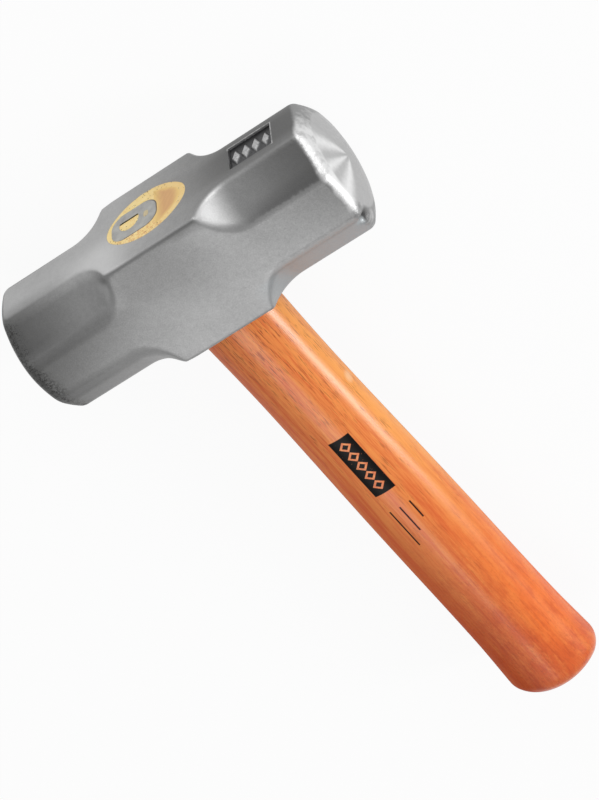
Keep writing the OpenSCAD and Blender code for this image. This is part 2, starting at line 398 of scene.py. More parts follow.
    def _body(self, f: Finishing, at: Place, head: "HammerHead", grain: Signal, fine: Signal,
              cloud: Signal) -> Socket:
        """Returns the colour of the blasted faces, with painted shade towards both ends, in patches on
        the cheek and along the upper chamfers.
        """
        mottle = grain.swing(0.9) + fine.swing(0.8) + cloud.swing(0.9)
        lower = cloud.swing(14.0) - at.y * 1.2
        eye_face = at.y.step(head.half_h - 0.9, head.half_h - 0.1)
        left, right = (at.x + lower).step(8, -82), (at.x - lower).step(22, 92)
        upper = self.upper.on(at)
        # Painted shade, darker towards both ends, and on the upper side darker at the chamfers' ends.
        painted_shade_share = (left * 0.9 | right * 0.6) * (1 - upper) | upper * abs(at.x).step(22, 68) * 0.8
        lip_shade = (at.y + cloud.swing(4.0)).step(17, 24.5) * self.lip_shade.on(at)
        # More painted shade in patches on the cheek and on the upper chamfers beside the eye face.
        painted_shade_share = painted_shade_share | self.middle.on(at) | self.right_top_shade.on(at) | lip_shade
        steel = f.coats(self.grey, (mottle + 0.4, self.shade), (painted_shade_share * (1 - eye_face), self.painted_shade_grey))
        steel = self._edge_light_and_shade(f, at, head, steel, fine)
        return self._eye_face(f, at, head, steel, eye_face, fine)

    def _edge_light_and_shade(self, f: Finishing, at: Place, head: "HammerHead", steel: Socket, fine: Signal) -> Socket:
        """Paints shade along the chamfers' edges and on a ridge of the left scoop, and highlights along
        the lower chamfer edges, on an arc of the left scoop and on the right scoop's upper corners, with
        a cool painted reflection on the right scoop's lower chamfer.
        """
        seam_y = head.half_h - head.chamfer_h
        over, under = at.y - seam_y + fine.swing(1.6), at.y + seam_y + fine.swing(1.6)
        # Painted shade along the cheek's edges with the upper chamfers, left and right.
        left_edge_shade = abs(over).step(2.6, 0.4) * self.left_edge_shade.on(at)
        right_edge_shade = over.step(6, 0.6) * over.step(-0.7, 0.3) * self.right_edge_shade.on(at)
        # Painted highlight along the lower chamfer edges.
        low_edge_highlight = abs(under + 0.4).step(2, 0.5) * (self.low_left_highlight.on(at) | self.low_right_highlight.on(at))
        # Painted reflection on the right scoop's lower chamfer, cool and lighter.
        below = self.below.on(at)
        aside = abs(at.across)
        # Painted highlight on an arc of the left scoop's run-out, and painted shade on a ridge beside it.
        runout = self.runout.on(at) * aside.step(head.half_w - 0.1, head.half_w - 1.2)
        # Painted highlight on the upper corners of the right scoop.
        rubbed = self.upper.on(at) & aside.step(head.half_w, head.half_w - 3.0)
        rubbed = rubbed & at.x.step(19, 20.5) & at.x.step(37, 23)
        rubbed = rubbed * at.y.step(head.half_h, head.half_h - 0.8)
        return f.coats(steel, (left_edge_shade | right_edge_shade, self.edge_shade), (low_edge_highlight, self.bevel),
                       (below * 0.5, self.cool_reflection), (below * 0.22, self.bevel),
                       (runout * self.arc.on(at), self.bevel),
                       (runout * self.ridge_shade.on(at), self.painted_shade_grey), (rubbed * 0.4, self.bevel))

    def _eye_face(self, f: Finishing, at: Place, head: "HammerHead", steel: Socket, eye_face: Signal,
                  fine: Signal) -> Socket:
        """Tones the eye face: painted light left of the eye, painted shade right of it and at its left
        end, painted highlights along two lips of the panel.
        """
        # Painted shade on the eye face, darker towards the right.
        scaled = at.x.step(-4, 42) * (0.85 - abs(at.across).step(4, 12) * 0.25)
        by_x = abs(at.x - head.stamp_x) - head.stamp_len / 2
        by_z = abs(at.across) - head.stamp_w / 2
        # Painted highlight along the panel's lips on its -Z and +X sides.
        highlight_sides = at.across.step(-5.6, -6.6) | (at.x - head.stamp_x).step(8.2, 9.1)
        rim_highlight = (by_x | by_z).step(0.7, 0.2) * eye_face * highlight_sides
        return f.coats(steel, (eye_face * self.left_eye_face_light.on(at), self.bevel),
                       (eye_face * self.eye_face_highlight.on(at), self.bevel),
                       (eye_face * (scaled | self.left_end_shade.on(at)), self.painted_shade_grey),
                       (rim_highlight * (fine.swing(1.5) + 0.4), self.bevel))

    def _rays(self, turn: Signal, radius: Signal) -> Signal:
        """Returns the soft rays in which the turning lines of a face catch light."""
        rays: Number = 0.0
        for middle, width in self.rays:
            rays = abs(turn - middle).step(width, 0.0) | rays
        return rays * radius.step(0.6, 5)


@dataclass(frozen=True)
class SunkSteel:
    """Dark steel in the bottom of the stamped panel and in the eye."""

    name: str = "sunk_steel"
    dark: Colour = srgb(88, 88, 89)
    worn: Colour = srgb(196, 196, 196)
    metallic: float = 0.9
    roughness: float = 0.45

    def material(self, floor_y: float, relief: float) -> Material:
        """Builds the finish, worn bright towards the height at which its lozenges end."""
        f = Finishing(self.name)
        at = f.place()
        grain = f.noise(at.vector, 0.9)
        proud = (at.y + grain.swing(0.5)).step(floor_y + 0.15 * relief, floor_y + 0.95 * relief)
        colour = f.mix(proud * (0.25 + grain * 1.2), self.dark, self.worn)
        return f.close(Base_Color=colour, Metallic=self.metallic, Roughness=self.roughness,
                       Normal=f.bump(grain, 0.2))


@dataclass(frozen=True)
class VarnishedWood:
    """Straight-grained wood under clear orange varnish, with the printed mark."""

    name: str = "orange_varnish"
    light: Colour = srgb(244, 150, 74)
    main: Colour = srgb(230, 118, 56)
    red: Colour = srgb(210, 86, 36)
    # Gold of the painted light on the right side.
    gold: Colour = srgb(250, 172, 82)
    # Bright orange of the painted light on the butt's right side.
    blaze: Colour = srgb(255, 124, 40)
    pore: Colour = srgb(124, 46, 14)
    flaw: Colour = srgb(244, 196, 150)
    ink: Colour = srgb(20, 18, 17)
    roughness: float = 0.31
    coat: float = 1.0
    coat_roughness: float = 0.25
    flaw_place: Point = (16.6, -80.0, 25.0)
    # Where painted light lies on the right side, in the grain's bands.
    lit_right_side: Patch = Patch(x=(9, 18), y=(-240, -130))
    upper_end: Patch = Patch(y=(-150, -30))
    deep_pores: Patch = Patch(y=(-80, -28), share=0.22)
    # Where painted shade lies: the left side and the underside.
    left_side_shade: Patch = Patch(x=(-5, -15))
    underside: Patch = Patch(across=(-0.5, -4), share=0.4)
    # Where the butt gets painted shade on the left and painted light on the right, and where that light
    # fades at the end.
    butt_left_shade: Patch = Patch(x=(2, -16), share=0.25)
    butt_right_light: Patch = Patch(x=(2, 11))
    butt_end: Patch = Patch(y=(-222, -252), share=0.8)

    def material(self, handle: "Handle") -> Material:
        """Builds the finish for a handle of these sizes."""
        f = Finishing(self.name)
        at = f.place(handle.axis_z)
        wander = f.noise(at.vector, 9.0, 2.0, 0.5, drawn=0.12) - 0.5
        along = f.vector(at.x + wander * 2.6, at.y * 0.03, at.z + wander * 1.8)
        bands = f.noise(along, 1.3)
        broad = f.noise(at.vector, 9.0, 2.0, 0.5, drawn=0.08)
        contrast = at.y.step(-200, -40) * 0.9 + 0.7
        fibre = (f.noise(along, 0.35, 2.0, drawn=1.6) - 0.5) * contrast + 0.5
        tone = bands.swing(1.8) + broad.swing(1.2) + fibre.swing(0.9) + 0.5
        redness = broad.swing(1.6) + bands.swing(1.4) + fibre.swing(0.8) + 0.12
        pores = self._pores(f, at, along)
        x, y, z = self.flaw_place
        flaw = f.length(at.x - x, (at.y - y) * 0.4, (at.z - z) * 0.5) + fibre * 0.6
        # Painted light on the right side, painted shade on the left side and on the underside.
        colour = f.coats(self.light, (tone, self.main),
                         (self.lit_right_side.on(at) * (bands + 0.2), self.gold), (redness, self.red),
                         (pores * (0.5 + self.deep_pores.on(at)), self.pore),
                         (self.left_side_shade.on(at) * (0.45 - self.upper_end.on(at) * 0.25), self.red),
                         (flaw.step(1.9, 0.9) * 0.7, self.flaw), (self.underside.on(at), self.pore))
        ink = handle.mark.mask(f, at)
        colour = f.mix(ink, self._butt(f, at, handle, colour), self.ink)
        return f.close(Base_Color=colour, Metallic=0.0, Coat_Weight=self._gloss(at) * (1 - ink * 0.8),
                       Roughness=self.roughness + fibre.swing(0.14) + ink * 0.1,
                       Normal=f.bump((1 - pores) * 0.7 + fibre * 0.3, 0.02),
                       Coat_Roughness=self.coat_roughness, Specular_IOR_Level=0.0)

    def _pores(self, f: Finishing, at: Place, along: Socket) -> Signal:
        """Returns 1 in the open pores, which lie thicker towards the head."""
        lines = f.noise(along, 0.42, 2.0, 0.5, drawn=2.2).step(0.52, 0.68)
        thicker = self.upper_end.on(at) * 0.2 - at.x.step(-4, -12) * 0.1
        return lines & (f.noise(at.vector, 4.0, 1.0, 0.5, drawn=0.25) + thicker).step(0.48, 0.74)

    def _gloss(self, at: Place) -> Signal:
        """Returns how much varnish stands on the wood: less on its left edge and its underside."""
        rubbed = at.x.step(-4, -15) * (0.86 - at.y.step(-200, -30) * 0.25)
        return (self.coat - rubbed) * (1 - at.across.step(2, -2) * 0.65)

    def _butt(self, f: Finishing, at: Place, handle: "Handle", colour: Socket) -> Socket:
        """Reddens the wood in patches towards the butt, where end grain drinks the varnish, and paints
        shade on its left side and light on its right side.
        """
        near = at.y.step(handle.side_y + 150, handle.side_y - 8)
        patch = f.noise(at.vector, 5.0, 4.0, 0.7, drawn=0.4).step(0.38, 0.62)
        streaks = f.noise(at.vector, 1.1, drawn=0.09).step(0.42, 0.66)
        specks = f.noise(at.vector, 0.8, roughness=0.7, drawn=0.45).step(0.5, 0.68)
        # Painted light on the butt's right side, less at its end and on the streaks.
        lit = self.butt_right_light.on(at) * (1 - self.butt_end.on(at)) * (1 - streaks * 0.4)
        return f.coats(colour, (near * (0.4 + patch * 0.5 + streaks * 0.25), self.red),
                       (near * (streaks * patch * 0.24 | specks * 0.3), self.pore),
                       (near * self.butt_left_shade.on(at), self.pore), (near * lit * 0.6, self.blaze))


@dataclass(frozen=True)
class EndGrain:
    """Bare end of the tenon, sawn across the grain and stained with resin round its edge."""

    name: str = "end_grain"
    pale: Colour = srgb(212, 164, 110)
    ring: Colour = srgb(180, 128, 80)
    stain: Colour = srgb(234, 199, 124)
    roughness: float = 0.45

    def material(self, handle: "Handle") -> Material:
        """Builds the finish, with resin soaked in from the edge of the bare end."""
        f = Finishing(self.name)
        at = f.place(handle.axis_z)
        waver = f.noise(at.vector, 5.0, 2.0, 0.5)
        rings = ((at.x * 0.9 + at.z * 0.5 + waver * 3.0) * 3.0).wave()
        specks = f.cells(at.vector, 0.55).step(0.18, 0.3)
        out = Oval(handle.axis_z).reach(f, at, handle.tenon_half - handle.pool_rim)
        soaked = (at.x + waver.swing(2.0)).step(handle.bare_x + 4.5, handle.bare_x - 0.5)
        soaked = soaked | (out + waver.swing(0.2)).step(0.78, 1)
        colour = f.coats(self.pale, (rings * 0.12, self.ring), ((1 - specks) * 0.2, self.ring),
                         (soaked, self.stain))
        return f.close(Base_Color=colour, Roughness=self.roughness, Normal=f.bump(specks, 0.03))


@dataclass(frozen=True)
class WedgeSteel:
    """Dull steel of the wedge, as it was cut."""

    name: str = "cut_steel"
    grey: Colour = srgb(190, 190, 186)
    dull: Colour = srgb(148, 148, 150)
    gap: Colour = srgb(70, 66, 60)
    roughness: float = 0.45

    def material(self, pocket: "WedgePocket") -> Material:
        """Builds the finish, with a dark gap against the resin on the wedge's near side."""
        f = Finishing(self.name)
        at = f.place(pocket.axis_z)
        grain = f.noise(at.vector, 0.6)
        stain = f.noise(at.vector, 4.0)
        by_x = abs(at.x - pocket.centre_x) - (pocket.length / 2 - pocket.corner)
        by_z = abs(at.across) - (pocket.width / 2 - pocket.corner)
        out = f.length(by_x | 0.0, 0.0, by_z | 0.0) - pocket.corner
        near_side = (at.across + at.x - pocket.centre_x).step(-3, 4)
        colour = f.coats(self.grey, (stain.swing(1.6) + 0.25, self.dull),
                         (out.step(-0.65, -0.15) * near_side * 0.75, self.gap))
        return f.close(Base_Color=colour, Metallic=1.0, Roughness=self.roughness + grain.swing(0.2),
                       Normal=f.bump(grain, 0.06))


@dataclass(frozen=True)
class AmberResin:
    """Opaque yellow resin with grains in it."""

    name: str = "cast_resin"
    yellow: Colour = srgb(238, 206, 126)
    pale: Colour = srgb(246, 222, 156)
    tan: Colour = srgb(222, 180, 116)
    orange: Colour = srgb(205, 120, 55)
    grime: Colour = srgb(176, 166, 140)
    void: Colour = srgb(70, 52, 34)
    roughness: float = 0.32
    right: Patch = Patch(x=(-4, 14), share=0.4)
    near_side: Patch = Patch(x=(12, 2), across=(5, 8.5), share=0.6)
    window: Patch = Patch(x=(-2.2, -1.2, 2.6, 1.6), share=0.75)
    far_side: Patch = Patch(x=(14, 8), across=(-9, -11), share=0.8)

    def material(self, handle: "Handle") -> Material:
        """Builds the finish: crumbly on the near side, with dark crevices against the eye."""
        f = Finishing(self.name)
        at = f.place(handle.axis_z)
        cloud = f.noise(at.vector, 3.0)
        grains = f.cells(at.vector, 0.8).step(0.30, 0.16)
        specks = grains & f.noise(at.vector, 5.0, 1.0, 0.5).step(0.52, 0.6)
        voids = f.cells(f.shifted(at.vector, (7.0, 3.0, 1.0)), 1.6).step(0.2, 0.12)
        crumbs = f.noise(at.vector, 1.4, 4.0, 0.7).step(0.46, 0.62)
        slot = self.window.on(at) * abs(at.across).step(3.2, 2.4)
        crevice = Oval(handle.axis_z).reach(f, at, handle.eye_half).step(0.94, 0.98)
        crevice = crevice * f.noise(at.vector, 2.2, 2.0, 0.5).step(0.52, 0.66) * self.far_side.on(at)
        colour = f.coats(self.yellow, (cloud.swing(2.0) + 0.5, self.pale), (self.right.on(at), self.tan),
                         (self.near_side.on(at) * crumbs | specks * 0.7, self.orange),
                         (slot, self.grime), (crevice | voids * 0.7, self.void))
        return f.close(Base_Color=colour, Roughness=self.roughness, Specular_IOR_Level=0.5,
                       Normal=f.bump((1 - voids) * 0.7 + cloud * 0.3, 0.25))


@dataclass(frozen=True)
class PrintedMark:
    """A plain black panel with a row of bare lozenges, and three plain rules below it."""

    centre_x: float = 0.3
    centre_y: float = -111.8
    length: float = 32.4
    width: float = 9.4
    lozenges: int = 5
    lozenge_pitch: float = 5.7
    lozenge_half: float = 2.7
    lozenge_hollow: float = 1.5
    rules: Pairs = ((5.0, 10.0), (0.4, 14.5), (-4.2, 21.0))
    rule_top: float = -137.5
    rule_half: float = 0.32
    soft: float = 0.12

    def mask(self, f: Finishing, at: Place) -> Signal:
        """Returns 1 where there is ink."""
        u, v = at.y - self.centre_y, at.x - self.centre_x
        half_l, half_w = self.length / 2, self.width / 2
        panel = u.band(-half_l, half_l, self.soft) & v.band(-half_w, half_w, self.soft)
        ink = panel & (1 - self._lozenges(u, v))
        for x, length in self.rules:
            rule = at.y.band(self.rule_top - length, self.rule_top, self.soft)
            ink = ink | rule & (at.x - x).band(-self.rule_half, self.rule_half, self.soft)
        return ink & at.across.step(-0.5, 0.5) & f.noise(at.vector, 0.9).step(0.24, 0.32)

    def _lozenges(self, u: Signal, v: Signal) -> Signal:
        """Returns 1 on the outlines of the lozenges, which lie in a row along the panel."""
        cell = u / self.lozenge_pitch + self.lozenges / 2
        local = cell.fraction().swing(self.lozenge_pitch)
        outline = (abs(local) + abs(v)).band(self.lozenge_hollow, self.lozenge_half, self.soft)
        row = self.lozenges * self.lozenge_pitch / 2
        return outline & u.band(-row, row, self.soft)


def add_object(name: str, data: bpy.types.ID) -> Piece:
    """Makes an object of a mesh, a light or a camera, and links it to the scene."""
    thing = bpy.data.objects.new(name, data)
    bpy.context.scene.collection.objects.link(thing)
    return thing


def add_piece(name: str, verts: Array, faces: Iterable[Sequence[int]]) -> Piece:
    """Makes an object from points in millimetres and the point numbers of each face."""
    mesh = bpy.data.meshes.new(name)
    mesh.from_pydata((verts * MM).tolist(), [], [list(map(int, face)) for face in faces])
    mesh.update()
    return add_object(name, mesh)


def loft(name: str, rings: Array) -> Piece:
    """Skins a stack of rings and closes both ends with a point in their middle.

    Args:
        name: The object's name.
        rings: Array of rings, points round each ring, and three coordinates in millimetres.

    Returns:
        The closed object, with its faces outwards.
    """
    index = np.arange(rings.shape[0] * rings.shape[1]).reshape(rings.shape[:2])
    after = np.roll(index, -1, 1)
    sides = np.stack([index[:-1], after[:-1], after[1:], index[1:]], 2).reshape(-1, 4)
    ends = [(b, a, index.size) for a, b in zip(index[0], after[0])]
    ends += [(a, b, index.size + 1) for a, b in zip(index[-1], after[-1])]
    verts = np.vstack([*rings, rings[0].mean(0), rings[-1].mean(0)])
    piece = add_piece(name, verts, [*sides, *ends])
    tidy_mesh(piece)
    return piece


def tidy_mesh(piece: Piece, sharp: float = 180.0) -> None:
    """Turns faces outwards, shades them smooth and keeps edges over an angle sharp.

    Args:
        piece: The object to tidy.
        sharp: Angle between faces, in degrees, from which an edge stays sharp.
    """
    mesh = bmesh.new()
    mesh.from_mesh(piece.data)
    bmesh.ops.remove_doubles(mesh, verts=mesh.verts, dist=MERGE * MM)
    bmesh.ops.recalc_face_normals(mesh, faces=mesh.faces)
    for face in mesh.faces:
        face.smooth = True
    for edge in mesh.edges:
        angle = edge.calc_face_angle(0.0) if len(edge.link_faces) == 2 else math.pi
        edge.smooth = angle < math.radians(sharp)
    mesh.to_mesh(piece.data)
    mesh.free()


def cut(piece: Piece, cutters: Sequence[Piece]) -> None:
    """Cuts closed shapes out of a piece, and removes the cutters."""
    for cutter in cutters:
        modifier = piece.modifiers.new("cut", "BOOLEAN")
        modifier.operation = "DIFFERENCE"
        modifier.solver = "EXACT"
        modifier.object = cutter
    graph = bpy.context.evaluated_depsgraph_get()
    old, piece.data = piece.data, bpy.data.meshes.new_from_object(piece.evaluated_get(graph))
    piece.modifiers.clear()
    bpy.data.meshes.remove(old)
    for cutter in cutters:
        bpy.data.objects.remove(cutter)


def give(piece: Piece, *finishes: Material) -> None:
    """Gives a piece its finishes in place of those it has."""
    piece.data.materials.clear()
    for finish in finishes:
        piece.data.materials.append(finish)


def eased(share: Any) -> Any:
    """Eases a share from 0 to 1 in and out."""
    return share * share * (3 - 2 * share)


@dataclass(frozen=True)
class Oval:
    """The hammer's oval about the handle's axis: two end arcs and two side arcs on four fixed centres."""

    axis_z: float
    step: float = 8.8
    count: int = 160

    def reach(self, f: Finishing, at: Place, half_length: float) -> Signal:
        """Returns 0 on the axis and 1 on the oval of that half length."""
        return f.length(at.x / half_length, 0.0, at.across / (half_length - self.step / 2))

    def ring(self, half_length: float, y: float) -> Array:
        """Returns points round one oval.

        Args:
            half_length: Half the oval's length, along the head.
            y: Height of the oval on the handle's axis.

        Returns:
            One point per row, in millimetres.
        """
        turn = np.arange(self.count) * 2 * math.pi / self.count
        end_angle = math.atan2(3, 4)
        wrapped = np.abs((turn + math.pi / 2) % math.pi - math.pi / 2)
        at_end = wrapped < end_angle
        radius = np.where(at_end, half_length - self.step, half_length + self.step / 4)
        centre_x = np.where(at_end, np.sign(np.cos(turn)) * self.step, 0.0)
        centre_z = np.where(at_end, 0.0, -np.sign(np.sin(turn)) * 0.75 * self.step)
        x = centre_x + radius * np.cos(turn)
        z = centre_z + radius * np.sin(turn)
        return np.stack([x, np.full(self.count, y), z + self.axis_z], 1)


@dataclass
class HammerHead:
    """The forged head: octagonal ends, scooped run-outs, crowned faces, oval eye, stamped panel."""

    half_len: float
    half_h: float
    half_w: float
    axis_z: float
    middle_half: float = 20.3
    chamfer_w: float = 11.4
    chamfer_h: float = 14.4
    runout: float = 14.5
    face_r: float = 20.0
    crown: float = 3.0
    bevel_w: float = 5.0
    bevel_len: float = 2.0
    bevel_zone: float = 6.0
    soft: float = 1.5
    worn_soft: float = 2.0
    worn_x: tuple[float, float] = (-14.0, -26.0)
    end_soft: float = 2.7
    eye_half: float = 17.9
    waist_half: float = 16.7
    mouth_half: float = 18.2
    waist_y: float = -7.3
    stamp_x: float = 46.8
    stamp_len: float = 18.5
    stamp_w: float = 13.6
    stamp_depth: float = 1.3
    pips: int = 4
    pip_seed: int = 7
    pip_pitch: float = 4.35
    pip_half_len: float = 2.4
    pip_half_w: float = 5.8
    pip_height: float = 0.95
    nick: Point = (68.1, -15.0, 40.7)
    nick_r: float = 4.6
    nick_depth: float = 1.2
    around: int = 320
    along: tuple[int, int, int] = (66, 38, 30)
    stamp_grid: tuple[int, int] = (75, 55)
    fine_turns: int = 4001
    spaced_at: float = 45.0
    out_to: float = 45.0
    halvings: int = 34
    margin: float = 0.4
    inset: float = 0.2

    @property
    def rim_x(self) -> float:
        """Distance from the middle at which the bevel meets the face."""
        return self.half_len - self.crown

    def build(self, oval: Oval) -> Piece:
        """Makes the head, with its eye of that oval and its stamped panel cut out."""
        head = loft("forged_head", self._rings())
        cut(head, [self._eye_cutter(oval), self._stamp_cutter()])
        tidy_mesh(head, SHARP)
        return head

    def dress(self, head: Piece) -> None:
        """Gives the head its finishes: blasted steel, and dark steel where it is sunk."""
        floor_y = self.half_h - self.stamp_depth
        give(head, BlastedSteel().material(self), SunkSteel().material(floor_y, self.pip_height))
        for face in head.data.polygons:
            x, y, z = (c / MM for c in face.center)
            in_panel = abs(x - self.stamp_x) < self.stamp_len / 2 + self.margin
            in_panel = in_panel and abs(z - self.axis_z) < self.stamp_w / 2 + self.margin
            in_panel = in_panel and floor_y - self.stamp_depth < y
            in_eye = math.hypot(x, z - self.axis_z) < self.mouth_half - self.inset / 2
            sunk = (in_panel or in_eye) and abs(y) < self.half_h - self.inset
            face.material_index = 1 if sunk else 0

    def _stations(self) -> Array:
        """Returns the places along the head at which its outline is worked out."""
        bevel_x = self.rim_x - self.bevel_zone
        for_middle, for_bevel, for_crown = self.along
        middle = np.linspace(0.0, bevel_x, for_middle)
        bevel = np.linspace(bevel_x, self.rim_x - 0.06, for_bevel)[1:]
        crown_r = self._crown_r()
        sweep = np.linspace(math.asin(self.face_r / crown_r), 0.0, for_crown)[:-1]
        crown = self.half_len - crown_r + crown_r * np.cos(sweep)
        half = np.concatenate([middle, bevel, crown])
        return np.concatenate([-half[::-1], half[1:]])

    def _crown_r(self) -> float:
        """Returns the radius of the ball that crowns a face."""
        return (self.face_r ** 2 + self.crown ** 2) / (2 * self.crown)

    def _rings(self) -> Array:
        """Returns the rings of the blank, from the plain end to the stamped end."""
        xs = self._stations()
        turn = self._turns()
        radius = self._radius(xs[:, None], turn[None, :])
        x = np.repeat(xs[:, None], self.around, 1)
        rings = np.stack([x, radius * np.sin(turn), radius * np.cos(turn) + self.axis_z], 2)
        near = np.clip(1 - np.linalg.norm(rings - np.array(self.nick), axis=2) / self.nick_r, 0, 1)
        inwards = np.stack([-np.ones_like(x), -np.sin(turn) + 0 * x, -np.cos(turn) + 0 * x], 2)
        return rings + inwards * (eased(near) * self.nick_depth)[:, :, None]

    def _turns(self) -> Array:
        """Returns the angles round the head, spaced evenly along its outline."""
        fine = np.linspace(0, 2 * math.pi, self.fine_turns)
        radius = self._radius(np.array([[self.spaced_at]]), fine[None, :])[0]
        step = np.hypot(np.diff(radius), radius[:-1] * np.diff(fine))
        run = np.concatenate([[0], np.cumsum(step)])
        return np.interp(np.arange(self.around) / self.around * run[-1], run, fine)

    def _scoop(self, along: Array) -> Array:
        """Returns how deep the corner chamfer cuts, by the distance from the head's middle."""
        depth = self.chamfer_w * self.chamfer_h / math.hypot(self.chamfer_w, self.chamfer_h)
        arc = (depth ** 2 + self.runout ** 2) / (2 * depth)
        left = np.clip(self.middle_half + self.runout - along, 0, self.runout + 2)
        cut_depth = depth - (arc - np.sqrt(np.maximum(arc ** 2 - left ** 2, 0)))
        return np.where(along < self.middle_half - 1, -self.crown, cut_depth)

    def _radius(self, x: Array, turn: Array) -> Array:
        """Finds how far out the surface lies.

        Args:
            x: Places along the head.
            turn: Angles round the head, from the upper cheek towards the eye face.

        Returns:
            The radius at each place and angle.
        """
        breadth = math.hypot(self.chamfer_w, self.chamfer_h)
        lean = (self.chamfer_w / breadth, self.chamfer_h / breadth)
        up, out = np.abs(np.sin(turn)), np.abs(np.cos(turn))
        corner = self.half_h * lean[0] + self.half_w * lean[1] - self._scoop(np.abs(x))
        back = self.half_len - np.abs(x)
        crown_r = self._crown_r()
        cap = np.sqrt(np.maximum(crown_r ** 2 - (crown_r - back) ** 2, 0))
        rise = self.bevel_len / self.bevel_w
        limit = np.where(back < self.crown, cap, self.face_r + (back - self.crown) / rise)
        slope = np.where(back < self.crown, cap / crown_r, rise / math.hypot(1, rise))
        soft = self.soft + self.worn_soft * eased(np.interp(-x, [-end for end in self.worn_x], [0, 1]))
        low = np.zeros(np.broadcast_shapes(x.shape, turn.shape))
        high = np.full_like(low, self.out_to)
        for _ in range(self.halvings):
            mid = (low + high) / 2
            flats = [mid * up - self.half_h, mid * out - self.half_w,
                     mid * up * lean[0] + mid * out * lean[1] - corner]
            gap = self._joined([self._joined(flats, soft), (mid - limit) * slope], self.end_soft)
            high = np.where(gap > 0, mid, high)
            low = np.where(gap > 0, low, mid)
        return low

    @staticmethod
    def _joined(gaps: Sequence[Array], soft: Any) -> Array:
        """Returns the distance to a form that several faces bound, its edges rounded to radius soft."""
        deepest = np.maximum.reduce(gaps)
        outer = np.sqrt(sum(np.maximum(gap + soft, 0) ** 2 for gap in gaps))
        return outer - soft + np.minimum(deepest + soft, 0)

    def _eye_cutter(self, oval: Oval) -> Piece:
        """Makes the shape of the eye, which flares both ways from its waist."""
        outline = [(self.mouth_half, -self.half_h - PAST), (self.mouth_half, -self.half_h),
                   (self.waist_half, self.waist_y), (self.eye_half, self.half_h),
                   (self.eye_half, self.half_h + PAST)]
        return loft("eye_cutter", np.array([oval.ring(a, y) for a, y in outline]))

    def _stamp_cutter(self) -> Piece:
        """Makes the sunk panel's shape: a block whose floor has raised lozenges."""
        z = np.linspace(-self.stamp_w / 2, self.stamp_w / 2, self.stamp_grid[1])
        rings = []
        for x in np.linspace(-self.stamp_len / 2, self.stamp_len / 2, self.stamp_grid[0]):
            floor_y = self.half_h - self.stamp_depth + self._pips(x, z)
            low, high = (np.stack([0 * z + x + self.stamp_x, y, z + self.axis_z], 1)
                         for y in (floor_y, 0 * z + self.half_h + PAST))
            rings.append(np.vstack([low, high[::-1]]))
        return loft("stamp_cutter", np.array(rings))

    def _pips(self, x: float, z: Array) -> Array:
        """Returns the height of worn lozenges that stand in the sunk panel."""
        height = np.zeros_like(z)
        wear = np.random.default_rng(self.pip_seed).uniform(0.75, 1.0, self.pips)
        for number, left in enumerate(wear):
            middle = (number - (self.pips - 1) / 2) * self.pip_pitch
            gap = abs(x - middle) / self.pip_half_len + np.abs(z) / self.pip_half_w
            height = np.maximum(height, left * np.clip((1.0 - gap) / 0.5, 0, 1))
        return self.pip_height * eased(height)


